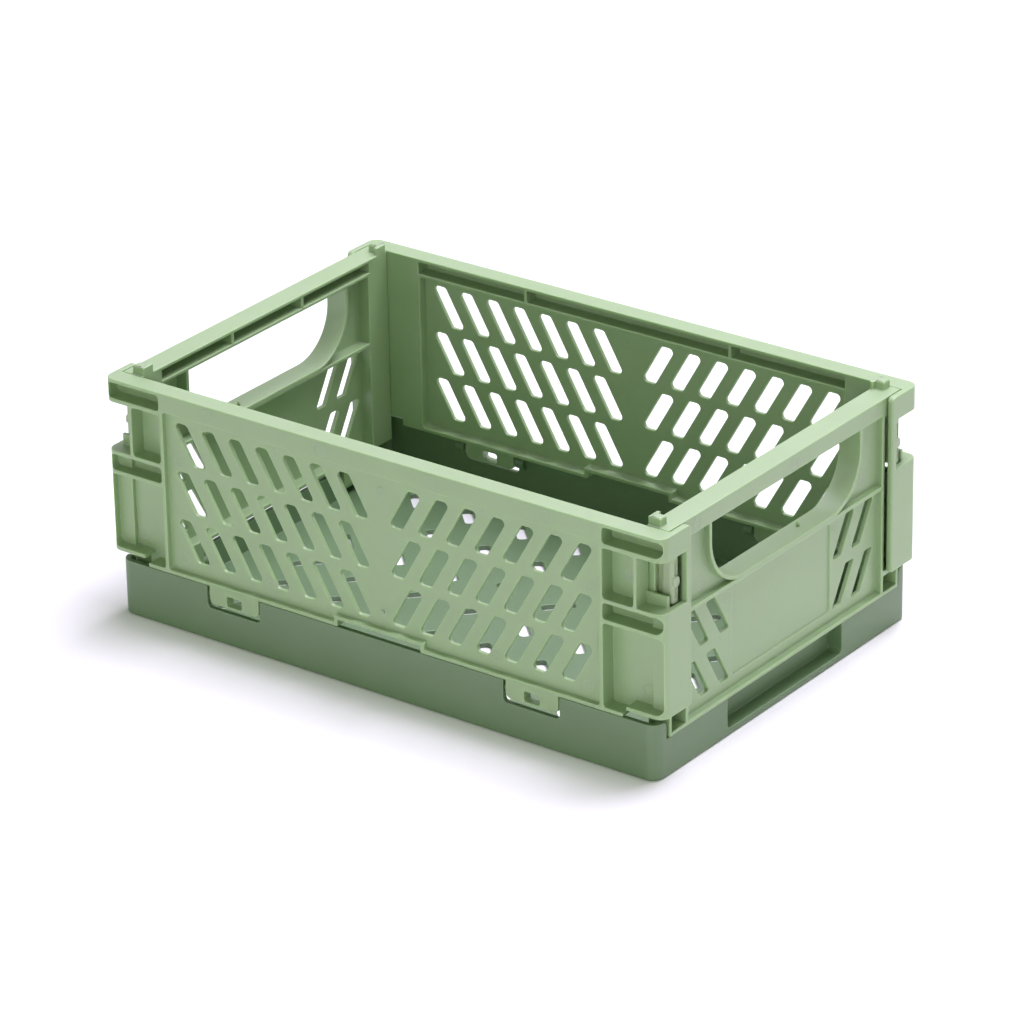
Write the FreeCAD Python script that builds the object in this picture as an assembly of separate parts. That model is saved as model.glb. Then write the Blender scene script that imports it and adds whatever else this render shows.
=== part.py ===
import FreeCAD, Part
import math
import os

# Fold-flat storage crate in moulded plastic, all sizes in millimetres.
# Frame: origin at the middle of the underside, +X along the crate's length,
# +Y from the front side to the back side, +Z up.
# The end panels fold inward first and lie on the floor; the long sides fold over them.

os.makedirs("parts", exist_ok=True)

Vector = FreeCAD.Vector

# ---- overall sizes -----------------------------------------------------------------
length = 269.4                # over the corner returns of the long sides
width = 175.0                 # over the outer faces of the long sides
rail_top = 102.3              # height of the top rail
reach = 5.0                   # how far a cutting tool runs past the face it cuts
same_place = 1e-6             # points nearer than this are one point

# ---- clearances --------------------------------------------------------------------
panel_gap = 0.3               # between neighbouring mouldings
return_gap = 0.5              # between an end panel and the corner return in front of it
pin_clearance = 0.05          # radial, at every hinge pin
fold_gap_floor = 2.2          # under a folded end panel
fold_gap_over = 0.4           # between a folded end panel and the long side folded over it
socket_gap = 0.5              # round a stacking peg in its socket
latch_fit = 0.02              # each side of the latch's tongue

# ---- base tray ---------------------------------------------------------------------
base_inset_x = 3.8            # tray end wall behind the outer face of the return
base_inset_y = 0.3            # tray long wall behind the outer face of the long side
base_wall = 2.4
floor_thickness = 2.2
long_rim_over_boss = 0.9      # the long rim stands above the hinge bosses
short_rim_top = 16.4
base_corner_radius = 5.2
base_bottom_radius = 1.5
corner_post_margin = 1.2      # the corner post starts this far outside the end panel
corner_post_radius = 2.5
grip_margin = 6.5             # finger recess ends this far inside the hinge arms
grip_depth = 6.5
grip_bottom = 3.2
grip_wall = 2.2
grip_radius = 2.0

floor_slot_length = 14.0
floor_slot_width = 4.6
floor_slot_lean = 45.0        # degrees from the crate's length
floor_slot_pitch_x = 27.0
floor_slot_pitch_y = 24.0
floor_slot_margin = 12.0      # solid border round the floor pattern
floor_slot_over = 1.0         # a slot's cut ends this far above the floor

# ---- long side ---------------------------------------------------------------------
side_depth = 8.4
side_corner_radius = 4.5
flange = 1.7                  # bottom flange
plate_recess = 2.4            # outer face of the slotted plate behind the frame
plate_thickness = 1.7
rail_band = 8.1               # height of the plain band along the top
rail_wall = 1.5
rail_skin = 2.0               # outer wall of the rail
rail_divider_at = 50.5
middle_gap_half = 20.3        # the flange steps up here, and at the corners
middle_gap_rise = 2.9
corner_gap = 19.0             # length of the raised flange at each corner
corner_gap_rise = 3.2
corner_width = 29.6           # from the slot-side face of the frame rib to the crate's end
frame_rib = 1.75
rib = 1.5
pocket_skin = 1.5             # inner wall left behind the corner pockets
pocket_radius = 1.5
pocket_end_radius = 2.6
pocket_end_wall = 1.1
pocket_wall = 1.75            # between one corner pocket and the next
window_width = 12.2
window_height = 20.9
window_under_rail = 1.9
window_sill_block = 4.6       # low inner wall at the foot of the window
second_pocket_height = 6.7
second_hole_height = 3.0
second_hole_width = 5.8
return_thickness = 2.7
return_inset = 10.5           # the return's edge is this far inside the long side's inner face
return_strip = 3.2            # strip of the return left beside the window
return_top_radius = 2.5
return_foot_radius = 1.0

slot_first = 4.3              # lower inner corner of the first slot
slot_pitch = 13.43
slot_above_flange = 5.3
slot_row_pitch = 20.83
slot_width = 6.8
slot_height = 17.3
slot_lean = 30.0              # degrees from upright, tops away from the middle
slot_radius = 1.8
slot_margin = 2.0             # plate left round the pattern of slots

# ---- hinge of a long side ----------------------------------------------------------
tab_width = 24.9
tab_to_corner = 49.4          # from the tab to the crate's end
tab_thickness = 4.6
tab_drop = 3.9                # from the hinge axis down to the foot of the tab
tab_corner_radius = 2.6
tab_notch_gap = 0.8
tab_notch_drop = 1.8
tab_notch_radius = 1.9
tab_window_width = 7.4
tab_window_height = 4.2
tab_window_above = 0.9
side_axis_inset = 3.0         # hinge axis behind the outer face of the long side
side_pin_radius = 1.4
side_pin_length = 3.4
side_boss_wall = 1.45
side_boss_length = 4.2
side_boss_end = 0.6           # closed end of a boss

# ---- end panel ---------------------------------------------------------------------
end_depth = 10.0
end_flange = 1.7
end_plate_recess = 2.7
end_plate_thickness = 2.0
end_bar = 7.4                 # height of the plain bar along the top
end_bar_skin = 2.0
end_divider_at = 22.5
end_channel_margin = 11.8     # solid end of the top bar
end_rib_inset = 12.3          # slot-side face of the frame rib, inside the panel's edge
end_rib = 1.7
end_inner_frame = 0.5         # the inner face's frame is this much wider than the outer one
end_edge_wall = 1.3
end_pocket_under_bar = 0.9
ear_top = 26.0
ear_wall = 1.5
handle_margin = 15.9          # from the handle opening to the frame rib
handle_height = 28.9
handle_radius = 21.0
handle_lip = 1.6
cross_rib_under_handle = 1.0
label_half_width = 33.8
label_bottom = 23.0
label_under_rib = 2.3
label_depth = 0.75
end_slot_first = 35.4
end_slot_bottom = 22.9
end_slot_row_pitch = 21.5
end_slot_width = 6.2
end_slot_height = 16.6
end_slot_radius = 0.9

# ---- hinge of an end panel ---------------------------------------------------------
arm_width = 12.0
arm_margin = 20.8             # from the arm to the panel's edge
arm_set_back = 0.1            # the arm's outer face inside the knuckle's outline
end_pin_radius = 1.5
end_pin_length = 2.6
knuckle_wall = 1.3
lug_thickness = 3.0
lug_bore_margin = 1.0
lug_top_flat = 0.28           # half the flat left on top of a lug

# ---- stacking pegs -----------------------------------------------------------------
peg_width = 4.7
peg_depth = 4.2
peg_height = 3.6
peg_chamfer = 0.6
peg_inset_x = 1.0             # from the end panel's inner face
peg_inset_y = 0.8             # from the end panel's edge
peg_rib_width = 1.6
peg_rib_extra = 1.8

# ---- latches -----------------------------------------------------------------------
latch_recess_depth = 6.5      # cut from the end panel's outer face
latch_recess_back = 7.2       # cut from the end panel's edge
latch_recess_below = 5.9      # the cut runs this far below the window
latch_edge_gap = 1.0          # from the latch to the end panel's edge
latch_width = 4.4             # across the crate
latch_depth = 5.3
latch_above_sill = 0.5
latch_under_head = 1.7
latch_radius = 1.5
latch_inset = 2.5             # outer face behind the return's outer face
latch_tongue_thickness = 1.6
latch_tongue_inset = 2.2
latch_tongue_length = 2.5
latch_block_margin = 1.4
latch_groove_depth = 0.5
latch_groove_width = 2.0
latch_groove_end = 1.6
latch_groove_flat = 0.1       # half the flat at each end of a groove
latch_groove_to_nub = 2.4
latch_nub_below_middle = 0.6
latch_nub_width = 3.4
latch_nub_length = 4.2
latch_nub_height = 0.6
latch_nub_flat = 0.085        # half the flat at each end of the nub

# ---- places worked out from the sizes above ----------------------------------------
x_out = length / 2
y_out = width / 2
y_in = y_out - side_depth
base_x = x_out - base_inset_x
base_y = y_out - base_inset_y
return_inner = x_out - return_thickness
return_edge = y_in - return_inset
end_outer_x = return_inner - return_gap
end_inner_x = end_outer_x - end_depth
end_half = y_in - panel_gap
end_plate_outer = end_outer_x - end_plate_recess
end_plate_inner = end_plate_outer - end_plate_thickness
end_inner_wall = end_inner_x + end_plate_thickness
corner_post_from = end_half + corner_post_margin

tray_inner_x = base_x - base_wall
knuckle_radius = end_pin_radius + knuckle_wall
# The knuckle is flush with the panel's inner face, and always clear of the tray's end wall.
end_axis_x = min(end_inner_x + knuckle_radius, tray_inner_x - panel_gap - knuckle_radius)
end_axis_inset = end_axis_x - end_inner_x
end_axis_z = floor_thickness + fold_gap_floor + end_axis_inset
arm_to = end_half - arm_margin
arm_from = arm_to - arm_width
grip_half_width = arm_from - grip_margin

side_axis_y = y_out - side_axis_inset
folded_side_under = floor_thickness + fold_gap_floor + end_depth + fold_gap_over
side_axis_z = folded_side_under + side_depth - side_axis_inset
side_boss_radius = side_pin_radius + side_boss_wall
grip_wall_top = folded_side_under - panel_gap
corner_depth = side_axis_z + side_axis_inset - short_rim_top - panel_gap
corner_deep_from = side_axis_z + side_axis_y - grip_half_width + panel_gap
long_rim_top = side_axis_z + side_boss_radius + long_rim_over_boss
side_bottom = long_rim_top + panel_gap
end_bottom = short_rim_top + panel_gap
tab_to = x_out - tab_to_corner
tab_from = tab_to - tab_width
tab_bottom = side_axis_z - tab_drop
tab_notch_bottom = tab_bottom - tab_notch_drop

rail_bottom = rail_top - rail_band
frame_rib_at = x_out - corner_width
pocket_from = frame_rib_at + frame_rib
window_from = x_out - window_width
window_top = rail_bottom - window_under_rail
window_bottom = window_top - window_height
second_pocket_top = window_bottom - pocket_wall
second_pocket_bottom = second_pocket_top - second_pocket_height
foot_pocket_top = second_pocket_bottom - pocket_wall
corner_floor = side_bottom + corner_gap_rise
slot_bottom = side_bottom + flange + slot_above_flange
shallow_from = tray_inner_x - panel_gap * 2

end_rib_from = end_half - end_rib_inset
end_rib_to = end_rib_from + end_rib
end_pocket_to = end_half - end_edge_wall
end_bar_bottom = rail_top - end_bar
handle_half_width = end_rib_from - handle_margin
handle_bottom = end_bar_bottom - handle_height
cross_rib_top = handle_bottom - cross_rib_under_handle
cross_rib_bottom = cross_rib_top - end_flange
label_top = cross_rib_bottom - label_under_rib

latch_bottom = window_bottom + latch_above_sill
latch_top = window_top - latch_under_head
latch_x_to = x_out - latch_inset
latch_x_from = latch_x_to - latch_depth
latch_y_to = end_half - latch_edge_gap
latch_y_from = latch_y_to - latch_width
latch_block_to = end_outer_x - latch_recess_depth


def box(x0, x1, y0, y1, z0, z1):
    """Block between two values on each axis."""
    low = Vector(min(x0, x1), min(y0, y1), min(z0, z1))
    return Part.makeBox(abs(x1 - x0), abs(y1 - y0), abs(z1 - z0), low)


def place(axis, u, v, level):
    """Point of a sketch whose normal is the given axis."""
    if axis == "x":
        return Vector(level, u, v)
    if axis == "y":
        return Vector(u, level, v)
    return Vector(u, v, level)


def outline(axis, points, radii, level):
    """Closed wire through the points, with each corner rounded by its own radius."""
    corners = [Vector(u, v, 0) for u, v in points]
    count = len(corners)
    if not isinstance(radii, (list, tuple)):
        radii = [radii] * count
    arcs = []
    for index, corner in enumerate(corners):
        before = corners[index - 1] - corner
        after = corners[(index + 1) % count] - corner
        before.normalize()
        after.normalize()
        radius = radii[index]
        if radius <= 0:
            arcs.append((corner, corner, corner))
            continue
        half = before.getAngle(after) / 2
        middle = before + after
        middle.normalize()
        centre = corner + middle * (radius / math.sin(half))
        tangent = radius / math.tan(half)
        arcs.append((corner + before * tangent, centre - middle * radius, corner + after * tangent))
    edges = []
    for index, (start, middle, finish) in enumerate(arcs):
        if (finish - start).Length > same_place:
            lifted = [place(axis, p.x, p.y, level) for p in (start, middle, finish)]
            edges.append(Part.Arc(*lifted).toShape())
        following = arcs[(index + 1) % count][0]
        if (following - finish).Length > same_place:
            ends = [place(axis, p.x, p.y, level) for p in (finish, following)]
            edges.append(Part.LineSegment(*ends).toShape())
    return Part.Wire(edges)


def prism(axis, points, radii, low, high):
    """Rounded polygon extruded along an axis from low to high."""
    face = Part.Face(outline(axis, points, radii, low))
    return face.extrude(place(axis, 0, 0, high - low))


def rounded_box(axis, u0, u1, v0, v1, low, high, radii):
    """Block whose four edges along one axis are rounded."""
    points = [(u0, v0), (u1, v0), (u1, v1), (u0, v1)]
    return prism(axis, points, radii, low, high)


def rod(axis, u, v, low, high, radius):
    """Cylinder along X or Y from low to high."""
    direction = place(axis, 0, 0, 1)
    return Part.makeCylinder(radius, high - low, place(axis, u, v, low), direction)


def slanted_slot(axis, u, v, width_, height, lean, radius, low, high):
    """Leaning slot; (u, v) is its lower inner corner and it leans away from zero."""
    shift = height * math.tan(math.radians(lean))
    points = [(u, v), (u + width_, v), (u + width_ + shift, v + height), (u + shift, v + height)]
    return prism(axis, points, radius, low, high)


def mirrored(shape, normal):
    """Copy of a shape reflected in the plane through the origin with this normal."""
    return shape.mirror(Vector(0, 0, 0), normal)


def both_ways(shape, normal):
    """Shape joined with its own mirror image."""
    return shape.fuse(mirrored(shape, normal))


def half_turn(shape):
    """Copy of a shape turned by half a turn about the crate's upright axis."""
    copy = shape.copy()
    copy.rotate(Vector(0, 0, 0), Vector(0, 0, 1), 180)
    return copy


def how_many(space, item, pitch):
    """How many items of a pattern fit in a space."""
    return max(0, 1 + int((space - item) / pitch))


def corner_rounding(axis, u, v, inward_u, inward_v, radius, low, high):
    """Sliver that rounds the corner (u, v) when it is cut; the signs point into the material."""
    corner = [(u - inward_u, v - inward_v), (u + inward_u * radius, v - inward_v),
              (u + inward_u * radius, v + inward_v * radius), (u - inward_u, v + inward_v * radius)]
    block = prism(axis, corner, 0, low, high)
    disc = Part.makeCylinder(radius, high - low,
                             place(axis, u + inward_u * radius, v + inward_v * radius, low),
                             place(axis, 0, 0, 1))
    return block.cut(disc)


def long_side_envelope():
    """Right half of the front side before its recesses are cut."""
    def corner_outline(depth_at_corner):
        return [
            (0, -y_out),
            (x_out, -y_out),
            (x_out, -return_edge),
            (return_inner, -return_edge),
            (return_inner, -y_out + depth_at_corner),
            (shallow_from, -y_out + depth_at_corner),
            (shallow_from, -y_in),
            (0, -y_in),
        ]
    radii = [0, side_corner_radius, return_foot_radius, return_foot_radius, 0, 0, 0, 0]
    lower = prism("z", corner_outline(corner_depth), radii, side_bottom, corner_deep_from)
    # Higher up the corner is as deep as the rest of the side, so its outline has no step.
    full = corner_outline(side_depth)
    del full[5:7]
    upper = prism("z", full, radii[:6], corner_deep_from, rail_top)
    envelope = lower.fuse(upper)
    past = (x_out - 2 * return_thickness, x_out + reach)
    return envelope.cut([
        corner_rounding("x", -return_edge, rail_top, -1, -1, return_top_radius, *past),
        corner_rounding("x", -return_edge, corner_floor, -1, 1, return_foot_radius, *past),
    ])


def long_side_panel_cuts():
    """Recesses of the slotted plate, the rail channel and the steps of the flange."""
    step_floor = side_bottom + middle_gap_rise
    points = [
        (-reach, step_floor + flange),
        (middle_gap_half + flange, step_floor + flange),
        (middle_gap_half + flange, side_bottom + flange),
        (frame_rib_at, side_bottom + flange),
        (frame_rib_at, rail_bottom),
        (-reach, rail_bottom),
    ]
    radii = [0, 0, 0, pocket_radius, pocket_radius, 0]
    cuts = [
        prism("y", points, radii, -y_out - reach, -y_out + plate_recess),
        prism("y", points, radii, -y_out + plate_recess + plate_thickness, -y_in + reach),
        box(-reach, middle_gap_half, -y_out - reach, -y_in + reach, side_bottom - reach, step_floor),
    ]
    cuts.append(box(x_out - corner_gap, x_out + reach, -y_out - reach, -return_edge + reach,
                    side_bottom - reach, corner_floor))
    channel_y = (-y_out + rail_skin, -y_in + reach)
    channel_z = (rail_bottom + rail_wall, rail_top - rail_wall)
    half_divider = rail_wall / 2
    cuts.append(box(-reach, rail_divider_at - half_divider, *channel_y, *channel_z))
    cuts.append(box(rail_divider_at + half_divider, pocket_from - rail_wall, *channel_y, *channel_z))
    return cuts


def corner_pocket(points, radii, is_deep):
    """Outward pocket of the corner; where the corner is shallow, so is the pocket."""
    deep = -y_out + side_depth - pocket_skin
    if is_deep:
        return prism("y", points, radii, -y_out - reach, deep)
    shallow = -y_out + corner_depth - pocket_skin
    near_part = prism("y", points, radii, -y_out - reach, deep)
    beyond = box(shallow_from - pocket_skin, x_out + reach, shallow, -y_in, 0, rail_top)
    return near_part.cut(beyond)


def long_side_corner_cuts():
    """Pockets, latch window and the openings behind them."""
    far = x_out - pocket_end_wall
    behind = -y_in + reach
    deep = -y_out + side_depth - pocket_skin
    radii = [pocket_radius, pocket_end_radius, pocket_end_radius, pocket_radius]
    top = [(pocket_from, rail_bottom), (far, rail_bottom), (far, rail_top - rail_wall),
           (pocket_from, rail_top - rail_wall)]
    second = [(pocket_from, second_pocket_bottom), (far, second_pocket_bottom),
              (far, second_pocket_top), (pocket_from, second_pocket_top)]
    step_at = x_out - corner_gap + flange
    foot = [(pocket_from, side_bottom + flange), (step_at, side_bottom + flange),
            (step_at, corner_floor + flange), (far, corner_floor + flange),
            (far, foot_pocket_top), (pocket_from, foot_pocket_top)]
    foot_radii = [pocket_radius, 0, 0, pocket_end_radius, pocket_end_radius, pocket_radius]
    cuts = [
        corner_pocket(top, radii, True),
        corner_pocket(second, radii, False),
        corner_pocket(foot, foot_radii, False),
        rounded_box("y", pocket_from, window_from - rib, window_bottom, window_top,
                    -y_out - reach, deep, pocket_radius),
        box(window_from, x_out + reach, -y_out - reach, deep, window_bottom, window_top),
        box(return_inner, x_out + reach, deep - reach, -return_edge - return_strip,
            window_bottom, window_top),
        box(window_from, return_inner + reach, deep - reach, behind,
            window_bottom + window_sill_block, window_top),
        box(window_from, window_from + second_hole_width, -y_out + rib, behind,
            second_pocket_top - second_hole_height, second_pocket_top),
    ]
    return cuts


def slot_pattern(axis, first, bottom, space_u, space_v, size, radius, levels):
    """Rows and columns of leaning slots, as many as fit in the space."""
    slot_w, slot_h, row_pitch = size
    leaning_width = slot_w + slot_h * math.tan(math.radians(slot_lean))
    slots = []
    for row in range(how_many(space_v - bottom, slot_h, row_pitch)):
        for column in range(how_many(space_u - first, leaning_width, slot_pitch)):
            slots.append(slanted_slot(axis, first + column * slot_pitch, bottom + row * row_pitch,
                                      slot_w, slot_h, slot_lean, radius, *levels))
    return slots


def long_side_slots():
    """Leaning slots of the right half."""
    return slot_pattern("y", slot_first, slot_bottom, frame_rib_at - slot_margin,
                        rail_bottom - slot_margin / 2, (slot_width, slot_height, slot_row_pitch),
                        slot_radius, (-y_out - reach, -y_in + reach))


def hinge_tab():
    """Tab of a long side with its window and its two hinge pins."""
    tab_y0 = -side_axis_y - tab_thickness / 2
    tab_y1 = -side_axis_y + tab_thickness / 2
    radii = [tab_corner_radius, tab_corner_radius, 0, 0]
    tab = rounded_box("y", tab_from, tab_to, tab_bottom, side_bottom + flange / 2, tab_y0, tab_y1, radii)
    tab = tab.fuse(rod("x", -side_axis_y, side_axis_z, tab_from - side_pin_length,
                       tab_to + side_pin_length, side_pin_radius))
    middle = (tab_from + tab_to) / 2
    window_low = tab_bottom + tab_window_above
    return tab.cut(rounded_box("y", middle - tab_window_width / 2, middle + tab_window_width / 2,
                               window_low, window_low + tab_window_height,
                               tab_y0 - reach, tab_y1 + reach, return_foot_radius))


def front_side():
    """Long side at the front, in one piece with its corner returns and hinge tabs."""
    half = long_side_envelope()
    half = half.cut(long_side_panel_cuts())
    half = half.cut(long_side_corner_cuts())
    half = half.cut(long_side_slots())
    half = half.fuse(hinge_tab())
    return both_ways(half, Vector(1, 0, 0)).removeSplitter()


def end_recesses():
    """Outer and inner recesses of the end panel, on the +Y half."""
    outer = (end_plate_outer, end_outer_x + reach)
    inner = (end_inner_x - reach, end_plate_inner)
    flange_top = end_bottom + end_flange
    inner_frame_from = end_rib_from - end_inner_frame
    cuts = [
        box(*outer, -reach, end_rib_from, flange_top, cross_rib_bottom),
        box(*outer, -reach, end_rib_from, cross_rib_top, end_bar_bottom),
        box(*inner, -reach, inner_frame_from, flange_top, cross_rib_bottom),
        box(*inner, -reach, inner_frame_from, cross_rib_top, end_bar_bottom),
    ]
    pocket_x = (end_inner_wall, end_outer_x + reach)
    ear_pocket = (end_bottom + ear_wall, ear_top - ear_wall / 2)
    cuts.append(box(*pocket_x, end_rib_to, end_pocket_to, *ear_pocket))
    cuts.append(box(*pocket_x, end_rib_to, end_pocket_to, ear_top + ear_wall,
                    end_bar_bottom - end_pocket_under_bar))
    channel_x = (end_inner_x - reach, end_outer_x - end_bar_skin)
    channel_z = (end_bar_bottom + rail_wall, rail_top - rail_wall)
    half_divider = rail_wall / 2
    cuts.append(box(*channel_x, -reach, end_divider_at - half_divider, *channel_z))
    cuts.append(box(*channel_x, end_divider_at + half_divider, end_half - end_channel_margin, *channel_z))
    return cuts


def latch_seat():
    """Recess for the latch, the block behind it and the slot for its tongue: (recess, block, slot)."""
    recess = box(latch_block_to, end_outer_x + reach, end_half - latch_recess_back, end_half + reach,
                 window_bottom - latch_recess_below, window_top)
    slot_x = latch_block_to - latch_tongue_length - latch_fit
    middle = (latch_y_from + latch_y_to) / 2
    half_slot = latch_tongue_thickness / 2 + latch_fit
    block = box(end_inner_x, latch_block_to, latch_y_from - latch_block_margin / 2, end_half,
                latch_bottom + latch_block_margin, window_top)
    slot = box(slot_x, latch_block_to + reach, middle - half_slot, middle + half_slot,
               latch_bottom + latch_tongue_inset, latch_top - latch_tongue_inset)
    return recess, block, slot


def handle_profile(grow, low, high):
    """Handle opening, grown outward by a given amount, straight at its top."""
    side = handle_half_width + grow
    radii = [handle_radius + grow, handle_radius + grow, 0, 0]
    return rounded_box("x", -side, side, handle_bottom - grow, end_bar_bottom, low, high, radii)


def end_slots():
    """Leaning slots on the +Y half of the end panel."""
    return slot_pattern("x", end_slot_first, end_slot_bottom, end_rib_from - slot_margin / 2,
                        cross_rib_bottom, (end_slot_width, end_slot_height, end_slot_row_pitch),
                        end_slot_radius, (end_inner_x - reach, end_outer_x + reach))


def end_hinge_arm():
    """Arm that reaches down behind the tray wall, with its knuckle and two pins."""
    arm = box(end_axis_x - knuckle_radius, end_axis_x + knuckle_radius - arm_set_back, arm_from, arm_to,
              end_axis_z, end_bottom + end_flange / 2)
    knuckle = rod("y", end_axis_x, end_axis_z, arm_from, arm_to, knuckle_radius)
    pins = rod("y", end_axis_x, end_axis_z, arm_from - end_pin_length, arm_to + end_pin_length,
               end_pin_radius)
    return arm.fuse([knuckle, pins])


def stacking_peg():
    """Square peg on the end of the bar, with a thin rib along its inner face."""
    peg_to = end_half - peg_inset_y
    peg_from = peg_to - peg_depth
    peg_x = end_inner_x + peg_inset_x
    foot = rail_top - rail_wall / 2
    top = rail_top + peg_height
    block = box(peg_x, peg_x + peg_width, peg_from, peg_to, foot, top)
    upper = [edge for edge in block.Edges if all(abs(v.Z - top) < same_place for v in edge.Vertexes)]
    block = block.makeChamfer(peg_chamfer, upper)
    strip = box(end_inner_x, end_inner_x + peg_rib_width, peg_from - peg_rib_extra, peg_to,
                foot, top - peg_chamfer / 2)
    return block.fuse(strip)


def right_end():
    """End panel with its handle opening, top bar, pegs, latch seats and hinge arms."""
    half = box(end_inner_x, end_outer_x, 0, end_half, end_bottom, rail_top)
    recess, block, slot = latch_seat()
    half = half.cut(end_recesses() + [recess])
    half = half.fuse(block).cut(slot)
    panel = both_ways(half, Vector(0, 1, 0))
    panel = panel.fuse(handle_profile(handle_lip, end_inner_x, end_outer_x))
    panel = panel.cut(handle_profile(0, end_inner_x - reach, end_outer_x + reach))
    panel = panel.cut(rounded_box("x", -label_half_width, label_half_width, label_bottom, label_top,
                                  end_plate_outer - label_depth, end_outer_x + reach, grip_radius))
    slots = end_slots()
    additions = [end_hinge_arm(), stacking_peg()]
    panel = panel.cut(slots + [mirrored(slot, Vector(0, 1, 0)) for slot in slots])
    panel = panel.fuse(additions + [mirrored(part, Vector(0, 1, 0)) for part in additions])
    return panel.removeSplitter()


def latch_groove(low, high, middle):
    """Elongated groove in the outer face of a latch."""
    half = latch_groove_width / 2
    return rounded_box("x", middle - half, middle + half, low, high,
                       latch_x_to - latch_groove_depth, latch_x_to + reach, half - latch_groove_flat)


def latch():
    """Latch bar of the back right corner, with its tongue, grooves and oval nub."""
    bar = rounded_box("z", latch_x_from, latch_x_to, latch_y_from, latch_y_to, latch_bottom, latch_top,
                      latch_radius)
    middle = (latch_y_from + latch_y_to) / 2
    nub_z = (latch_bottom + latch_top) / 2 - latch_nub_below_middle
    bar = bar.cut([
        latch_groove(latch_bottom + latch_groove_end, nub_z - latch_groove_to_nub, middle),
        latch_groove(nub_z + latch_groove_to_nub, latch_top - latch_groove_end, middle),
    ])
    nub_wide = latch_nub_width / 2
    nub_high = latch_nub_length / 2
    nub = rounded_box("x", middle - nub_wide, middle + nub_wide, nub_z - nub_high, nub_z + nub_high,
                      latch_x_to - latch_groove_depth, latch_x_to + latch_nub_height,
                      nub_wide - latch_nub_flat)
    tongue = box(latch_block_to - latch_tongue_length, latch_x_from + latch_radius,
                 middle - latch_tongue_thickness / 2, middle + latch_tongue_thickness / 2,
                 latch_bottom + latch_tongue_inset + latch_fit,
                 latch_top - latch_tongue_inset - latch_fit)
    return bar.fuse([nub, tongue]).removeSplitter()


def tray_shell():
    """Tray with its bottom edge rounded and its end walls lowered."""
    shell = rounded_box("z", -base_x, base_x, -base_y, base_y, 0, long_rim_top, base_corner_radius)
    lower = [edge for edge in shell.Edges if all(abs(v.Z) < same_place for v in edge.Vertexes)]
    shell = shell.makeFillet(base_bottom_radius, lower)
    inside_x = tray_inner_x
    inside_y = base_y - base_wall
    inside_radius = base_corner_radius - base_wall
    shell = shell.cut(rounded_box("z", -inside_x, inside_x, -inside_y, inside_y, floor_thickness,
                                  long_rim_top + reach, inside_radius))
    low_end = box(inside_x - reach, base_x + reach, -corner_post_from, corner_post_from,
                  short_rim_top, long_rim_top + reach)
    post = corner_rounding("x", corner_post_from, long_rim_top, 1, -1, corner_post_radius,
                           inside_x - reach, base_x + reach)
    return shell.cut([low_end, mirrored(low_end, Vector(1, 0, 0))] + in_all_quarters([post]))


def finger_grip(shell):
    """Finger recess in the right end wall, with the wall behind it."""
    back = base_x - grip_depth
    wall = box(back - grip_wall, base_x - base_wall / 2, -grip_half_width - grip_wall,
               grip_half_width + grip_wall, floor_thickness / 2, grip_wall_top)
    shell = shell.fuse(wall)
    recess = rounded_box("x", -grip_half_width, grip_half_width, grip_bottom, long_rim_top + reach,
                         back, base_x + reach, [grip_radius, grip_radius, 0, 0])
    return shell.cut(recess)


def side_hinge_seat():
    """Cuts and bosses for one hinge tab, at the front right: (notch, bosses, bores)."""
    notch = rounded_box("y", tab_from - tab_notch_gap, tab_to + tab_notch_gap, tab_notch_bottom,
                        long_rim_top + reach, -base_y - reach, -base_y + base_wall + reach,
                        [tab_notch_radius, tab_notch_radius, 0, 0])
    bosses = []
    bores = []
    for start, outward in ((tab_from - tab_notch_gap, -1), (tab_to + tab_notch_gap, 1)):
        far = start + outward * side_boss_length
        low, high = sorted((start, far))
        boss = rod("x", -side_axis_y, side_axis_z, low, high, side_boss_radius)
        outside = box(low - reach, high + reach, -base_y, -base_y - 2 * side_boss_radius, 0, 2 * long_rim_top)
        bosses.append(boss.cut(outside))
        bore_low, bore_high = sorted((start - outward, far - outward * side_boss_end))
        bores.append(rod("x", -side_axis_y, side_axis_z, bore_low, bore_high,
                         side_pin_radius + pin_clearance))
    return notch, bosses, bores


def end_hinge_lugs():
    """Two lugs on the floor for one hinge arm, at the back right."""
    lugs = []
    top = end_axis_z + knuckle_radius
    for low, high in ((arm_from - panel_gap - lug_thickness, arm_from - panel_gap),
                      (arm_to + panel_gap, arm_to + panel_gap + lug_thickness)):
        radius = knuckle_radius - lug_top_flat
        lug = rounded_box("y", end_axis_x - knuckle_radius, end_axis_x + knuckle_radius,
                          floor_thickness / 2, top, low, high, [0, 0, radius, radius])
        bore = rod("y", end_axis_x, end_axis_z, low - lug_bore_margin, high + lug_bore_margin,
                   end_pin_radius + pin_clearance)
        lugs.append(lug.cut(bore))
    return lugs


def floor_slots():
    """Leaning openings of the floor, mirrored about both middle lines."""
    lean = math.radians(floor_slot_lean)
    along = Vector(math.cos(lean), math.sin(lean), 0)
    across = Vector(-along.y, along.x, 0)
    space_x = tray_inner_x - floor_slot_margin
    space_y = base_y - base_wall - floor_slot_margin
    slots = []
    columns = how_many(space_x - floor_slot_pitch_x / 2, floor_slot_length / 2, floor_slot_pitch_x)
    rows = how_many(space_y - floor_slot_pitch_y / 2, floor_slot_length / 2, floor_slot_pitch_y)
    for column in range(columns):
        for row in range(rows):
            middle = Vector((column + 0.5) * floor_slot_pitch_x, (row + 0.5) * floor_slot_pitch_y, 0)
            points = []
            for a, b in ((-1, -1), (1, -1), (1, 1), (-1, 1)):
                point = middle + along * (a * floor_slot_length / 2) + across * (b * floor_slot_width / 2)
                points.append((point.x, point.y))
            slots.append(prism("z", points, slot_radius, -reach, floor_thickness + floor_slot_over))
    return slots


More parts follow.
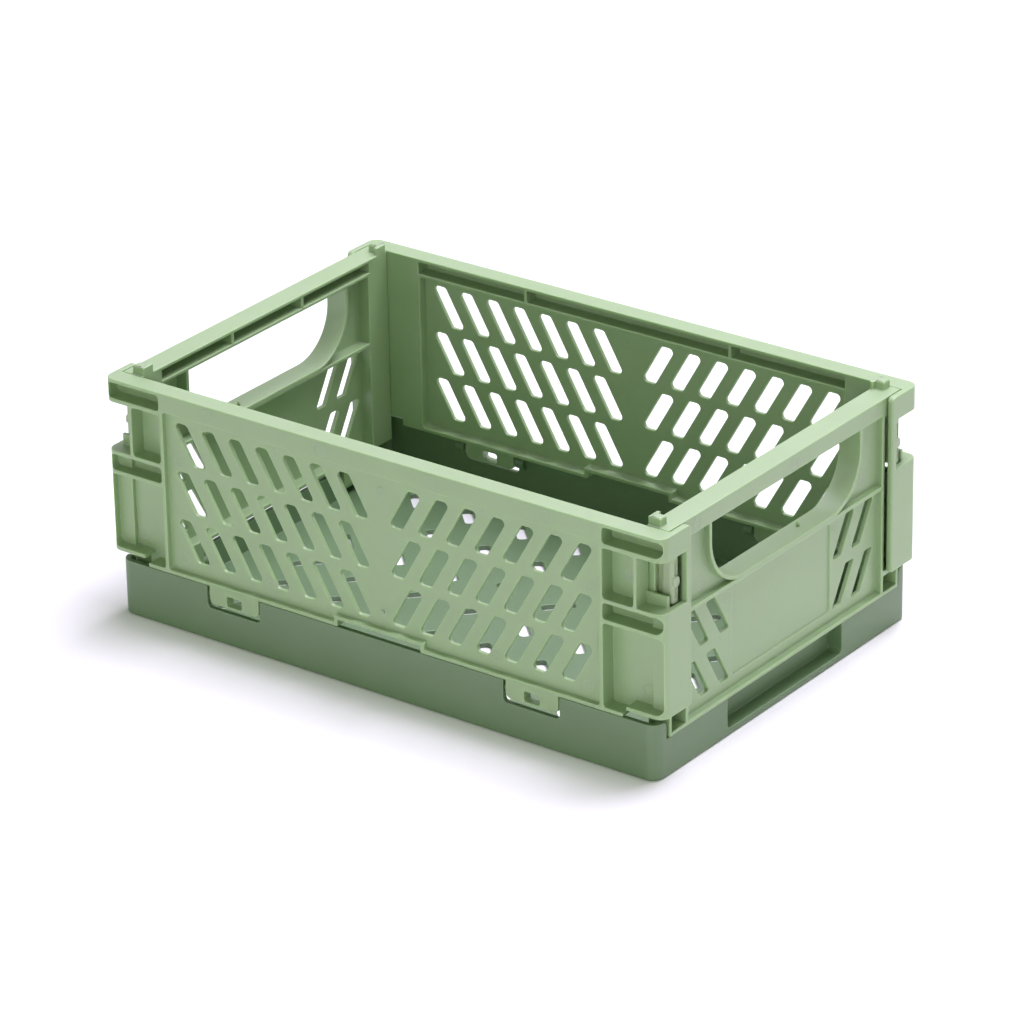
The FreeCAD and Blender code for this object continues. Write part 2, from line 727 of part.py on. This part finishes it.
def peg_socket():
    """Opening in the floor that takes the peg of the crate below, at the back right."""
    peg_to = end_half - peg_inset_y
    return box(end_inner_x - socket_gap, end_inner_x + peg_inset_x + peg_width + socket_gap,
               peg_to - peg_depth - peg_rib_extra - socket_gap, peg_to + socket_gap,
               -reach, peg_height + socket_gap)


def in_all_quarters(shapes):
    """Shapes together with their mirror images in both middle planes."""
    turned = shapes + [mirrored(shape, Vector(1, 0, 0)) for shape in shapes]
    return turned + [mirrored(shape, Vector(0, 1, 0)) for shape in turned]


def base_tray():
    """Tray that holds every hinge."""
    tray = tray_shell()
    tray = finger_grip(tray)
    tray = half_turn(tray)
    tray = finger_grip(tray)
    notch, bosses, bores = side_hinge_seat()
    tray = tray.cut(in_all_quarters([notch]))
    tray = tray.fuse(in_all_quarters(bosses + end_hinge_lugs()))
    tray = tray.cut(in_all_quarters(bores + floor_slots() + [peg_socket()]))
    return tray.removeSplitter()


def build():
    """Every moulding of the crate by its name."""
    front = front_side()
    right = right_end()
    back_right_latch = latch()
    front_right_latch = mirrored(back_right_latch, Vector(0, 1, 0))
    return {
        "base_tray": base_tray(),
        "front_side": front,
        "back_side": half_turn(front),
        "right_end": right,
        "left_end": half_turn(right),
        "latch_back_right": back_right_latch,
        "latch_front_right": front_right_latch,
        "latch_front_left": half_turn(back_right_latch),
        "latch_back_left": half_turn(front_right_latch),
    }


for name, shape in build().items():
    if len(shape.Solids) != 1 or not shape.isValid():
        raise RuntimeError(name + " is not one valid solid")
    shape.Solids[0].exportStep("parts/" + name + ".step")
    print(name, round(shape.Volume), "mm3")
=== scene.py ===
import math

import bmesh
import bpy
from bpy.props import FloatProperty, IntProperty, PointerProperty, StringProperty
from mathutils import Matrix, Vector
from mathutils.geometry import delaunay_2d_cdt


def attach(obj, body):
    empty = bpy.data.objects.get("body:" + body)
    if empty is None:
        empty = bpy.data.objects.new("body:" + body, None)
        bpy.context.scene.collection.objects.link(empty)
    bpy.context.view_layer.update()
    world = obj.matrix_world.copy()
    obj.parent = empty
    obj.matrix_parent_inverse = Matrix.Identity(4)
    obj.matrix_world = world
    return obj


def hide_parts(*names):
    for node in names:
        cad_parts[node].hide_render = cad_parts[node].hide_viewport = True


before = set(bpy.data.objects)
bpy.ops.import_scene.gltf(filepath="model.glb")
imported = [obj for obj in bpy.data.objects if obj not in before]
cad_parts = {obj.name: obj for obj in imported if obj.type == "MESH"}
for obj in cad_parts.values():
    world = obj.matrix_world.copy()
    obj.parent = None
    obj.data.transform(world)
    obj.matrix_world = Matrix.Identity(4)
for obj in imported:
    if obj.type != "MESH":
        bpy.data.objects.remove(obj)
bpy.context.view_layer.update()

bl_info = {
    "name": "Folding storage crate finish",
    "version": (1, 0, 0),
    "blender": (4, 5, 0),
    "location": "3D View > Sidebar > Crate",
    "description": "Finishes a fold-flat moulded storage crate and lights it in a small studio",
    "category": "Object",
}

MM = 0.001
LONG_SIDES = {"front_side": "front_wall", "back_side": "back_wall"}
END_PANELS = {"right_end": "right_wall", "left_end": "left_wall"}
TURNED = ("back_side", "left_end")      # the same mouldings as their partners, turned by half a turn
LATCHES = {"latch_front_right": "right_wall", "latch_back_right": "right_wall",
           "latch_front_left": "left_wall", "latch_back_left": "left_wall"}

# Plastic.
POLYPROPYLENE_IOR = 1.49
GLOW_BY_COLOUR = (0.75, 1.0, 0.4)       # share of the glow depth that red, green and blue light travel
WALL_ROUGHNESS, WALL_GRAIN = 0.46, 0.012        # the grain is its depth in millimetres
BASE_ROUGHNESS, BASE_GRAIN = 0.50, 0.014
LATCH_ROUGHNESS, LATCH_GRAIN = 0.36, 0.006
ROUGHNESS_SPREAD = 0.05
FLOW_DETAIL, FLOW_ROUGHNESS, FLOW_DISTORTION = 3.0, 0.5, 0.6
GRAIN_DETAIL, GRAIN_ROUGHNESS = 2.0, 0.6
EDGE_SAMPLES = 6
# Where the painted edge highlight starts and where it is at full strength.
EDGE_STARTS, EDGE_FULL = 0.98, 0.80     # cosines between the face's normal and the rounded one

# Rounding of the mouldings.
WELD_DISTANCE = 0.002                   # millimetres
FLAT_ANGLE = math.radians(0.3)          # faces within this angle are one flat area
SHARP_ANGLE = math.radians(35)          # edges above this angle are rounded
ROUND_PROFILE = 0.5
WHOLE_HULL = 0                          # what delaunay_2d_cdt keeps: every triangle of the hull
POINT_TOLERANCE = 1e-5                  # millimetres
AREA_TOLERANCE = 1e-3                   # share of the flat area
SMALLEST_AREA = 1e-4                    # square millimetres
BIG_FACES_FIRST = 100                   # weight of large faces in the shading

# Stage, in metres.
FLOOR_HALF = 3.0
FLOOR_ROUGHNESS = 0.9
SENSOR_WIDTH = 36.0                     # millimetres
CRATE_MIDDLE = (0.0, 0.0, 0.05)
KEY_PLACE, KEY_SIZE = (0.1, 0.35, 1.35), 0.9
SIDE_PLACE, SIDE_SIZE = (1.5, -0.1, 0.8), 0.8
FILL_PLACE, FILL_SIZE = (0.5, -1.8, 0.3), 1.2
LAMP_WHITE = "FFFFFF"

# Mould marks in millimetres, on the front side and the right end. The faces are the CAD's.
# A ring is its middle and radius; a gate is its foot, direction, foot radius, tip radius and height.
RAIL_FACE = -87.5
PLATE_FACE = -85.1
POCKET_FACE = -80.6
BAR_FACE = 131.5
END_PLATE_FACE = 128.8
HANDLE_LIP = 66.0
GATE_FACETS = 12
SIDE_RINGS = [((x, RAIL_FACE, 98.0), 2.6) for x in (-82.0, -26.0, 27.0, 80.5)]
SIDE_RINGS += [((x, PLATE_FACE, 31.6), 2.3) for x in (-98.5, -54.5, 54.5, 98.5)]
SIDE_RINGS += [((x, PLATE_FACE, 92.2), 1.4) for x in (-84.0, -50.0, 50.0, 84.0)]
SIDE_RINGS += [((x, PLATE_FACE, 73.4), 2.2) for x in (-99.4, 99.4)]
SIDE_RINGS += [((1.1, PLATE_FACE, 86.8), 2.0), ((0.9, PLATE_FACE, 35.6), 1.7)]
SIDE_RINGS += [((x, POCKET_FACE, 81.7), 2.4) for x in (-113.2, 113.2)]
SIDE_RINGS += [((x, POCKET_FACE, 34.7), 2.4) for x in (-123.5, 123.5)]
SIDE_OUT = (0, -1, 0)
END_OUT = (1, 0, 0)
SIDE_GATES = [((0.9, PLATE_FACE, 35.6), SIDE_OUT, 0.8, 0.5, 0.35)]
END_RINGS = [((BAR_FACE, y, 98.6), 2.3) for y in (-60.6, 4.9, 60.6)]
END_RINGS += [((END_PLATE_FACE, y, 70.5), 2.2) for y in (-54.9, 54.9)]
END_RINGS += [((END_PLATE_FACE, y, 58.0), 1.8) for y in (-36.4, 36.4)]
END_GATES = [((125.5, 16.0, HANDLE_LIP), (0, 0, 1), 0.8, 0.25, 2.2)]


# ---- small helpers -------------------------------------------------------------------

def linear(hex_colour):
    """Linear colour with alpha from an sRGB hex value such as 8FA37C."""
    channels = [int(hex_colour[i:i + 2], 16) / 255 for i in (0, 2, 4)]
    return [c / 12.92 if c <= 0.04045 else ((c + 0.055) / 1.055) ** 2.4 for c in channels] + [1.0]


def add_node(tree, kind, settings=None, links=None, **inputs):
    """Adds a shader node, sets its properties and sockets, and links (socket: output) into it."""
    node = tree.nodes.new(kind)
    for name, value in (settings or {}).items():
        setattr(node, name, value)
    for name, value in inputs.items():
        node.inputs[name.replace("_", " ")].default_value = value
    for name, output in (links or {}).items():
        tree.links.new(output, node.inputs[name])
    return node


def per_metre(size_mm):
    """Texture scale that repeats a pattern about every size_mm."""
    return 1.0 / (size_mm * MM)


def mesh_object(name, body, build):
    """New piece from a bmesh that the build function fills; it rides on a body."""
    mesh = bpy.data.meshes.new(name)
    bm = bmesh.new()
    build(bm)
    bmesh.ops.recalc_face_normals(bm, faces=bm.faces)
    bm.to_mesh(mesh)
    bm.free()
    mesh.shade_smooth()
    piece = bpy.data.objects.new(name, mesh)
    bpy.context.scene.collection.objects.link(piece)
    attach(piece, body)
    return piece


# ---- materials -----------------------------------------------------------------------

def moulded_polypropylene(name, finish, colour, deep_colour, roughness, grain_depth):
    """Injection-moulded polypropylene: a waxy, slightly translucent green with a fine eroded grain.

    It reads as soft and matte, glows a deeper green where walls are thin or shaded, and its moulded
    edges carry a painted highlight, a little paler than its faces.
    """
    material = bpy.data.materials.new(name)
    material.use_nodes = True
    tree = material.node_tree
    shader = tree.nodes["Principled BSDF"]
    place = add_node(tree, "ShaderNodeTexCoord").outputs["Object"]
    # Pigment streaks left by the flow of the melt, a few centimetres long.
    flow = add_node(tree, "ShaderNodeTexNoise", links={"Vector": place},
                    Scale=per_metre(finish.flow_size), Detail=FLOW_DETAIL, Roughness=FLOW_ROUGHNESS,
                    Distortion=FLOW_DISTORTION)
    pigment = add_node(tree, "ShaderNodeMix", {"data_type": "RGBA"}, {"Factor": flow.outputs["Fac"]})
    pigment.inputs["A"].default_value = linear(deep_colour)
    pigment.inputs["B"].default_value = linear(colour)
    # Painted highlight along the edges: paler where the rounded normal leaves the face's own normal.
    rounded = add_node(tree, "ShaderNodeBevel", {"samples": EDGE_SAMPLES}, Radius=finish.highlight_band * MM)
    face = add_node(tree, "ShaderNodeNewGeometry").outputs["Normal"]
    same = add_node(tree, "ShaderNodeVectorMath", {"operation": "DOT_PRODUCT"})
    tree.links.new(rounded.outputs["Normal"], same.inputs[0])
    tree.links.new(face, same.inputs[1])
    edge = add_node(tree, "ShaderNodeMapRange", links={"Value": same.outputs["Value"]},
                    From_Min=EDGE_STARTS, From_Max=EDGE_FULL, To_Min=0.0, To_Max=finish.highlight_strength)
    edge_highlight = add_node(tree, "ShaderNodeMix", {"data_type": "RGBA"},
                    {"Factor": edge.outputs["Result"], "A": pigment.outputs["Result"]})
    edge_highlight.inputs["B"].default_value = linear(finish.highlight_colour)
    tree.links.new(edge_highlight.outputs["Result"], shader.inputs["Base Color"])
    # Spark-eroded grain. The real grain is about 0.1 mm; it is drawn at grain_size so that it shows.
    grain = add_node(tree, "ShaderNodeTexNoise", links={"Vector": place},
                     Scale=per_metre(finish.grain_size), Detail=GRAIN_DETAIL, Roughness=GRAIN_ROUGHNESS)
    bump = add_node(tree, "ShaderNodeBump", links={"Height": grain.outputs["Fac"]},
                    Strength=1.0, Distance=grain_depth * MM)
    tree.links.new(bump.outputs["Normal"], shader.inputs["Normal"])
    gloss = add_node(tree, "ShaderNodeMapRange", links={"Value": flow.outputs["Fac"]},
                     To_Min=roughness - ROUGHNESS_SPREAD, To_Max=roughness + ROUGHNESS_SPREAD)
    tree.links.new(gloss.outputs["Result"], shader.inputs["Roughness"])
    shader.inputs["IOR"].default_value = POLYPROPYLENE_IOR
    shader.inputs["Specular IOR Level"].default_value = finish.sheen
    shader.inputs["Subsurface Weight"].default_value = finish.translucency
    shader.inputs["Subsurface Radius"].default_value = GLOW_BY_COLOUR
    shader.inputs["Subsurface Scale"].default_value = finish.glow_depth * MM
    return material


class CrateFinish(bpy.types.PropertyGroup):
    """Colours and surface sizes of the mouldings."""
    wall_colour: StringProperty(name="Wall colour",
                                description="sRGB colour of the walls", default="91AB7E")
    wall_deep: StringProperty(name="Wall deep colour",
                              description="sRGB colour of pigment streaks in the walls", default="89A375")
    base_colour: StringProperty(name="Base colour",
                                description="sRGB colour of the tray", default="5C7A50")
    base_deep: StringProperty(name="Base deep colour",
                              description="sRGB colour of pigment streaks in the tray", default="57744A")
    latch_colour: StringProperty(name="Latch colour",
                                 description="sRGB colour of the latches", default="9AAA88")
    latch_deep: StringProperty(name="Latch deep colour",
                               description="sRGB colour of streaks in the latches", default="92A380")
    # The highlight colour, strength and band paint a highlight along the moulded edges.
    highlight_colour: StringProperty(name="Edge colour",
                                description="sRGB colour of highlighted edges", default="D3E2C6")
    highlight_strength: FloatProperty(name="Edge lightness",
                                  description="How far edges turn to the edge colour",
                                  default=0.45, min=0.0, max=1.0)
    highlight_band: FloatProperty(name="Edge band",
                             description="Width of the highlighted band in mm", default=0.45)
    edge_radius: FloatProperty(name="Edge radius",
                               description="Rounding of moulded edges in mm", default=0.35)
    latch_edge_radius: FloatProperty(name="Latch edge radius",
                                     description="Rounding of latch edges in mm", default=0.12)
    mark_width: FloatProperty(name="Mark width",
                              description="Width of an ejector ring in mm", default=0.36)
    mark_height: FloatProperty(name="Mark height",
                               description="Height of an ejector ring in mm", default=0.1)
    mark_steps: IntProperty(name="Mark steps", description="Sides of an ejector ring", default=32)
    edge_steps: IntProperty(name="Edge steps", description="Facets across a rounded edge", default=2)
    grain_size: FloatProperty(name="Grain size",
                              description="Spacing of the moulded grain in mm", default=0.5)
    flow_size: FloatProperty(name="Flow size",
                             description="Length of pigment streaks in mm", default=35.0)
    sheen: FloatProperty(name="Sheen", description="Strength of the waxy reflection", default=1.0)
    glow_depth: FloatProperty(name="Glow depth",
                              description="How far light travels in the plastic in mm", default=2.2)
    translucency: FloatProperty(name="Translucency",
                                description="Share of light scattered in the plastic",
                                default=0.8, min=0.0, max=1.0)


def crate_materials():
    """The three materials by name, made once."""
    finish = bpy.context.scene.crate_finish
    made = bpy.data.materials
    if "moulded_polypropylene_walls" not in made:
        moulded_polypropylene("moulded_polypropylene_walls", finish, finish.wall_colour, finish.wall_deep,
                              WALL_ROUGHNESS, WALL_GRAIN)
        moulded_polypropylene("moulded_polypropylene_base", finish, finish.base_colour, finish.base_deep,
                              BASE_ROUGHNESS, BASE_GRAIN)
        moulded_polypropylene("moulded_polypropylene_latch", finish, finish.latch_colour, finish.latch_deep,
                              LATCH_ROUGHNESS, LATCH_GRAIN)
    return {key: made["moulded_polypropylene_" + key] for key in ("walls", "base", "latch")}


# ---- rounded mouldings ---------------------------------------------------------------

def mark_flat_regions(bm, layer):
    """Numbers the connected flat areas of a mesh from 1 on; returns each one's normal by number."""
    normals = {}
    for seed in bm.faces:
        if seed[layer]:
            continue
        number = len(normals) + 1
        normals[number] = seed.normal.copy()
        seed[layer] = number
        waiting = [seed]
        while waiting:
            for edge in waiting.pop().edges:
                for face in edge.link_faces:
                    if not face[layer] and face.normal.angle(normals[number], math.pi) < FLAT_ANGLE:
                        face[layer] = number
                        waiting.append(face)
    return normals


def outline_of(faces, layer, number):
    """Directed boundary edges of one flat area, as pairs of vertices."""
    pairs = []
    for face in faces:
        for loop in face.loops:
            if all(other is face or other[layer] != number for other in loop.edge.link_faces):
                pairs.append((loop.vert, loop.link_loop_next.vert))
    return pairs


def triangles_inside(triangles, edges):
    """Triangles on the left of the directed outline edges."""
    walls = set(edges)
    owner = {}
    for number, (i, j, k) in enumerate(triangles):
        owner[i, j] = owner[j, k] = owner[k, i] = number
    waiting = [owner[edge] for edge in edges if edge in owner]
    inside = set(waiting)
    while waiting:
        i, j, k = triangles[waiting.pop()]
        for edge in ((i, j), (j, k), (k, i)):
            beyond = owner.get((edge[1], edge[0]))
            if beyond is not None and beyond not in inside and edge not in walls:
                inside.add(beyond)
                waiting.append(beyond)
    return [triangles[number] for number in sorted(inside)]


def refill_flat_area(bm, faces, pairs, normal):
    """Replaces the faces inside an outline by well-shaped triangles; an unsound outline is left alone."""
    across = normal.orthogonal().normalized()
    along = normal.cross(across)
    vertices = list({vertex: None for pair in pairs for vertex in pair})
    index = {vertex: i for i, vertex in enumerate(vertices)}
    flat = [Vector((vertex.co.dot(across), vertex.co.dot(along))) / MM for vertex in vertices]
    edges = [(index[start], index[finish]) for start, finish in pairs]
    expected = sum(flat[i].cross(flat[j]) for i, j in edges) / 2
    points, _, triangles, _, _, _ = delaunay_2d_cdt(flat, edges, [], WHOLE_HULL, POINT_TOLERANCE, True)
    triangles = triangles_inside([tuple(triangle) for triangle in triangles], edges)
    area = sum((points[j] - points[i]).cross(points[k] - points[i]) for i, j, k in triangles) / 2
    if len(points) != len(flat) or abs(area - expected) > AREA_TOLERANCE * expected + SMALLEST_AREA:
        return
    bmesh.ops.delete(bm, geom=faces, context="FACES_ONLY")
    for triangle in triangles:
        bm.faces.new([vertices[i] for i in triangle])


def round_edges(bm, radius, steps):
    """Rounds every sharp edge of a closed mesh and meshes its flat areas afresh."""
    layer = bm.faces.layers.int.new("flat_area")
    bm.normal_update()
    normals = mark_flat_regions(bm, layer)
    sharp = [edge for edge in bm.edges
             if len(edge.link_faces) == 2 and edge.calc_face_angle() > SHARP_ANGLE]
    rounded = bmesh.ops.bevel(bm, geom=sharp, affect="EDGES", offset=radius, offset_type="OFFSET",
                              segments=steps, profile=ROUND_PROFILE, clamp_overlap=False, loop_slide=False,
                              material=-1)
    for face in rounded["faces"]:
        face[layer] = 0
    areas = {}
    for face in bm.faces:
        if face[layer]:
            areas.setdefault(face[layer], []).append(face)
    for number, faces in areas.items():
        if len(faces) > 2:
            refill_flat_area(bm, faces, outline_of(faces, layer, number), normals[number])


def rounded_moulding(node, body, material, radius):
    """Copy of a moulding with rounded edges, shown in its place."""
    finish = bpy.context.scene.crate_finish

    def build(bm):
        bm.from_mesh(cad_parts[node].data)
        bmesh.ops.remove_doubles(bm, verts=bm.verts, dist=WELD_DISTANCE * MM)
        round_edges(bm, radius * MM, finish.edge_steps)

    piece = mesh_object(node + "_moulding", body, build)
    piece.data.materials.append(material)
    shading = piece.modifiers.new("Shading", "WEIGHTED_NORMAL")
    shading.mode = "FACE_AREA"
    shading.weight = BIG_FACES_FIRST
    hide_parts(node)
    return piece


class CRATE_OT_finish_walls(bpy.types.Operator):
    """Finish the long sides and the end panels"""
    bl_idname = "crate.finish_walls"
    bl_label = "Finish walls"

    def execute(self, context):
        finish = context.scene.crate_finish
        for node, body in (*LONG_SIDES.items(), *END_PANELS.items()):
            rounded_moulding(node, body, crate_materials()["walls"], finish.edge_radius)
        return {"FINISHED"}


class CRATE_OT_finish_base(bpy.types.Operator):
    """Finish the base tray"""
    bl_idname = "crate.finish_base"
    bl_label = "Finish base tray"

    def execute(self, context):
        finish = context.scene.crate_finish
        rounded_moulding("base_tray", "base", crate_materials()["base"], finish.edge_radius)
        return {"FINISHED"}


class CRATE_OT_finish_latches(bpy.types.Operator):
    """Finish the four latches"""
    bl_idname = "crate.finish_latches"
    bl_label = "Finish latches"

    def execute(self, context):
        finish = context.scene.crate_finish
        for node, body in LATCHES.items():
            rounded_moulding(node, body, crate_materials()["latch"], finish.latch_edge_radius)
        return {"FINISHED"}


# ---- marks left by the mould ---------------------------------------------------------

def ring_mark(bm, spot, out, radius, finish):
    """Low raised ring that an ejector pin's edge leaves; out is the face's outward direction."""
    turn = Vector((0, 0, 1)).rotation_difference(out)
    rows = ((radius - finish.mark_width / 2, -finish.mark_height), (radius, finish.mark_height),
            (radius + finish.mark_width / 2, -finish.mark_height))
    steps = finish.mark_steps
    rings = []
    for row_radius, height in rows:
        corners = []
        for i in range(steps):
            angle = 2 * math.pi * i / steps
            local = Vector((row_radius * math.cos(angle), row_radius * math.sin(angle), height))
            corners.append(bm.verts.new((spot + turn @ local) * MM))
        rings.append(corners)
    for first, second in ((rings[0], rings[1]), (rings[1], rings[2]), (rings[2], rings[0])):
        for i in range(steps):
            following = (i + 1) % steps
            bm.faces.new((first[i], first[following], second[following], second[i]))


def gate_mark(bm, spot, out, radius, tip_radius, height):
    """Torn stub where the melt entered the mould."""
    turn = Vector((0, 0, 1)).rotation_difference(out)
    place = Matrix.Translation((spot + out * height / 2) * MM) @ turn.to_matrix().to_4x4()
    bmesh.ops.create_cone(bm, cap_ends=True, segments=GATE_FACETS, radius1=radius * MM,
                          radius2=tip_radius * MM, depth=height * MM, matrix=place)


def mould_marks(node, body, out, rings, gates):
    """One piece with every mark on a moulding; marks are (spot, size...) in millimetres."""
    finish = bpy.context.scene.crate_finish
    half_turn = Matrix.Rotation(math.pi, 3, "Z") if node in TURNED else Matrix.Identity(3)

    def build(bm):
        for spot, radius in rings:
            ring_mark(bm, half_turn @ Vector(spot), half_turn @ Vector(out), radius, finish)
        for spot, gate_out, radius, tip_radius, height in gates:
            gate_mark(bm, half_turn @ Vector(spot), half_turn @ Vector(gate_out), radius, tip_radius, height)

    piece = mesh_object(node + "_mould_marks", body, build)
    piece.data.materials.append(crate_materials()["walls"])


class CRATE_OT_mark_sides(bpy.types.Operator):
    """Add the ejector rings and gate marks of the long sides"""
    bl_idname = "crate.mark_sides"
    bl_label = "Mark long sides"

    def execute(self, context):
        for node, body in LONG_SIDES.items():
            mould_marks(node, body, SIDE_OUT, SIDE_RINGS, SIDE_GATES)
        return {"FINISHED"}


class CRATE_OT_mark_ends(bpy.types.Operator):
    """Add the ejector rings and gate marks of the end panels"""
    bl_idname = "crate.mark_ends"
    bl_label = "Mark end panels"

    def execute(self, context):
        for node, body in END_PANELS.items():
            mould_marks(node, body, END_OUT, END_RINGS, END_GATES)
        return {"FINISHED"}


# ---- studio --------------------------------------------------------------------------

class CrateStudio(bpy.types.PropertyGroup):
    """Camera and light."""
    azimuth: FloatProperty(name="Azimuth",
                           description="Camera direction about the upright axis",
                           default=math.radians(36.886), subtype="ANGLE")
    elevation: FloatProperty(name="Elevation",
                             description="Camera height above the horizon",
                             default=math.radians(25.030), subtype="ANGLE")
    roll: FloatProperty(name="Roll",
                        description="Camera roll", default=math.radians(-1.095), subtype="ANGLE")
    distance: FloatProperty(name="Distance",
                            description="From the camera to the crate", default=2.18969, unit="LENGTH")
    lens: FloatProperty(name="Lens", description="Focal length in mm on a 36 mm sensor", default=192.2)
    aim_right: FloatProperty(name="Aim right",
                             description="The crate's origin right of the picture's middle",
                             default=0.000694, unit="LENGTH")
    aim_down: FloatProperty(name="Aim down",
                            description="The crate's origin below the picture's middle",
                            default=0.04082, unit="LENGTH")
    key_power: FloatProperty(name="Key power", description="Power of the large light above", default=33.0)
    side_power: FloatProperty(name="Side power",
                              description="Power of the light on the end side", default=2.2)
    fill_power: FloatProperty(name="Fill power",
                              description="Power of the low light in front", default=14.0)
    world_strength: FloatProperty(name="Room light",
                                  description="Strength of the white room", default=0.24)
    backdrop_colour: StringProperty(name="Backdrop colour",
                                    description="sRGB colour of the room", default="FFFFFF")
    bounce_colour: StringProperty(name="Bounce colour",
                                  description="sRGB colour of light bounced by the room",
                                  default="F6FFE6")
    key_colour: StringProperty(name="Key colour",
                               description="sRGB colour of the key light", default="EFE6FF")
    backdrop_strength: FloatProperty(name="Backdrop",
                                     description="Strength of the room seen or mirrored", default=1.15)
    floor_colour: StringProperty(name="Floor colour",
                                 description="sRGB colour of the floor", default="FAFAF8")


def aimed_at(target, location):
    """Rotation that points a lamp from its location to a target."""
    return (Vector(target) - Vector(location)).to_track_quat("-Z", "Y").to_euler()


def soft_box(name, location, size, power, colour):
    """Square area lamp that points at the middle of the crate."""
    lamp = bpy.data.lights.new(name, "AREA")
    lamp.color = linear(colour)[:3]
    lamp.energy = power
    lamp.size = size
    holder = bpy.data.objects.new(name, lamp)
    holder.location = location
    holder.rotation_euler = aimed_at(CRATE_MIDDLE, location)
    bpy.context.scene.collection.objects.link(holder)


def add_camera(studio):
    """Camera on a long lens, at the crate's three-quarter view."""
    cos_e, sin_e = math.cos(studio.elevation), math.sin(studio.elevation)
    cos_a, sin_a = math.cos(studio.azimuth), math.sin(studio.azimuth)
    back = Vector((sin_a * cos_e, -cos_a * cos_e, sin_e))
    level = Vector((cos_a, sin_a, 0.0))
    upright = back.cross(level)
    right = math.cos(studio.roll) * level + math.sin(studio.roll) * upright
    up = math.cos(studio.roll) * upright - math.sin(studio.roll) * level
    camera = bpy.data.cameras.new("camera")
    camera.lens = studio.lens
    camera.sensor_width = SENSOR_WIDTH
    holder = bpy.data.objects.new("camera", camera)
    bpy.context.scene.collection.objects.link(holder)
    place = back * studio.distance + up * studio.aim_down - right * studio.aim_right
    holder.matrix_world = Matrix.Translation(place) @ Matrix((right, up, back)).transposed().to_4x4()
    bpy.context.scene.camera = holder


def add_floor(studio):
    """Plain pale floor."""
    mesh = bpy.data.meshes.new("floor")
    corners = [(x * FLOOR_HALF, y * FLOOR_HALF, 0) for x, y in ((-1, -1), (1, -1), (1, 1), (-1, 1))]
    mesh.from_pydata(corners, [], [range(len(corners))])
    floor = bpy.data.objects.new("floor", mesh)
    material = bpy.data.materials.new("painted_floor")
    material.use_nodes = True
    shader = material.node_tree.nodes["Principled BSDF"]
    shader.inputs["Base Color"].default_value = linear(studio.floor_colour)
    shader.inputs["Roughness"].default_value = FLOOR_ROUGHNESS
    mesh.materials.append(material)
    bpy.context.scene.collection.objects.link(floor)


def add_room(studio):
    """White room: bright where it is seen or mirrored, dimmer where it lights the crate."""
    world = bpy.data.worlds.new("white_room")
    world.use_nodes = True
    tree = world.node_tree
    background = tree.nodes["Background"]
    spread = add_node(tree, "ShaderNodeLightPath").outputs["Is Diffuse Ray"]
    strength = add_node(tree, "ShaderNodeMapRange", links={"Value": spread},
                        To_Min=studio.backdrop_strength, To_Max=studio.world_strength)
    tree.links.new(strength.outputs["Result"], background.inputs["Strength"])
    tint = add_node(tree, "ShaderNodeMix", {"data_type": "RGBA"}, {"Factor": spread})
    tint.inputs["A"].default_value = linear(studio.backdrop_colour)
    tint.inputs["B"].default_value = linear(studio.bounce_colour)
    tree.links.new(tint.outputs["Result"], background.inputs["Color"])
    bpy.context.scene.world = world


class CRATE_OT_build_studio(bpy.types.Operator):
    """Set up the floor, the soft light and the camera"""
    bl_idname = "crate.build_studio"
    bl_label = "Build studio"

    def execute(self, context):
        studio = context.scene.crate_studio
        add_camera(studio)
        add_floor(studio)
        add_room(studio)
        soft_box("key", KEY_PLACE, KEY_SIZE, studio.key_power, studio.key_colour)
        soft_box("side", SIDE_PLACE, SIDE_SIZE, studio.side_power, LAMP_WHITE)
        soft_box("fill", FILL_PLACE, FILL_SIZE, studio.fill_power, LAMP_WHITE)
        context.scene.view_settings.view_transform = "Standard"
        return {"FINISHED"}


class CRATE_PT_panel(bpy.types.Panel):
    """Buttons for each part of the crate"""
    bl_label = "Folding crate"
    bl_idname = "CRATE_PT_panel"
    bl_space_type = "VIEW_3D"
    bl_region_type = "UI"
    bl_category = "Crate"

    def draw(self, context):
        for operator in OPERATORS:
            self.layout.operator(operator.bl_idname)


OPERATORS = (CRATE_OT_finish_walls, CRATE_OT_finish_base, CRATE_OT_finish_latches,
             CRATE_OT_mark_sides, CRATE_OT_mark_ends, CRATE_OT_build_studio)
CLASSES = (CrateFinish, CrateStudio, *OPERATORS, CRATE_PT_panel)


def register():
    for cls in CLASSES:
        bpy.utils.register_class(cls)
    bpy.types.Scene.crate_finish = PointerProperty(type=CrateFinish)
    bpy.types.Scene.crate_studio = PointerProperty(type=CrateStudio)


def unregister():
    del bpy.types.Scene.crate_studio
    del bpy.types.Scene.crate_finish
    for cls in reversed(CLASSES):
        bpy.utils.unregister_class(cls)


def main():
    register()
    bpy.ops.crate.finish_walls()
    bpy.ops.crate.finish_base()
    bpy.ops.crate.finish_latches()
    bpy.ops.crate.mark_sides()
    bpy.ops.crate.mark_ends()
    bpy.ops.crate.build_studio()


if __name__ == "__main__":
    main()
